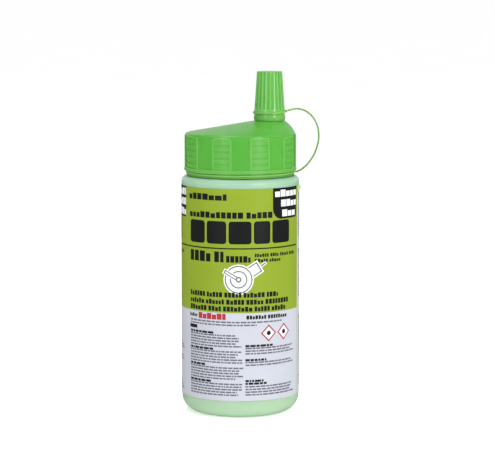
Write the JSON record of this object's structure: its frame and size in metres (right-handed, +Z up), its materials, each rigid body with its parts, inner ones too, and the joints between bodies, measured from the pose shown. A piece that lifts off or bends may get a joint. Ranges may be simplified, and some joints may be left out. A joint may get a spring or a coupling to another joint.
{
  "type": "chalk powder bottle",
  "caption": "Round squeeze bottle of marking chalk powder with a wrap label, a wide slanted screw cap, and an off-centre spout closed by a fluted nozzle cap on a looped tether.",
  "frame": {"origin": "centre of the standing ring under the bottle, on the surface it stands on", "axes": "+Z up along the bottle's axis, +X toward the off-centre spout and the tether's loop, -Y toward the front of the label"},
  "size_m": [0.0728, 0.0622, 0.18],
  "materials": {
    "bottle_body": "blow-moulded translucent polyethylene, pale mint, satin",
    "chalk": "loose fine chalk powder, matt",
    "label_film": "printed film, lime over pale lavender grey, light satin varnish",
    "liner_foam": "white closed-cell foam",
    "cap_plastic": "injection-moulded translucent green polyethylene, satin gloss",
    "nozzle_plastic": "injection-moulded translucent green polyethylene, satin gloss",
    "tether_plastic": "flexible translucent green polyethylene, satin"
  },
  "bodies": {
    "bottle_body": {"bottle": "bottle_body", "chalk_powder": "chalk", "wrap_label": "label_film"},
    "liner_body": {"cap_liner": "liner_foam"},
    "screw_cap_body": {"screw_cap": "cap_plastic", "tether_collar_ring": "tether_plastic", "tether_strap": "tether_plastic"},
    "tether_ring_body": {"tether_cap_ring": "tether_plastic"},
    "nozzle_cap_body": {"nozzle_cap": "nozzle_plastic"}
  },
  "joints": [
    {"name": "cap_lift", "type": "slide", "parent": "bottle_body", "child": "liner_body", "axis": [0, 0, 1], "range_m": [0, 0.01905]},
    {"name": "cap_turn", "type": "hinge", "parent": "liner_body", "child": "screw_cap_body", "pos_m": [0, 0, 0.1438], "axis": [0, 0, 1], "range_deg": [0, 1621]},
    {"name": "nozzle_cap_pull", "type": "slide", "parent": "screw_cap_body", "child": "tether_ring_body", "axis": [0, 0, 1], "range_m": [0, 0.018], "deforming": ["tether_strap"]},
    {"name": "nozzle_cap_spin", "type": "hinge", "parent": "tether_ring_body", "child": "nozzle_cap_body", "pos_m": [0.0154, 0, 0.1543], "axis": [0, 0, 1], "continuous": true}
  ],
  "couplings": [
    {"joint": "cap_turn", "follows": "cap_lift", "rad_per_m": 1484.2}
  ]
}
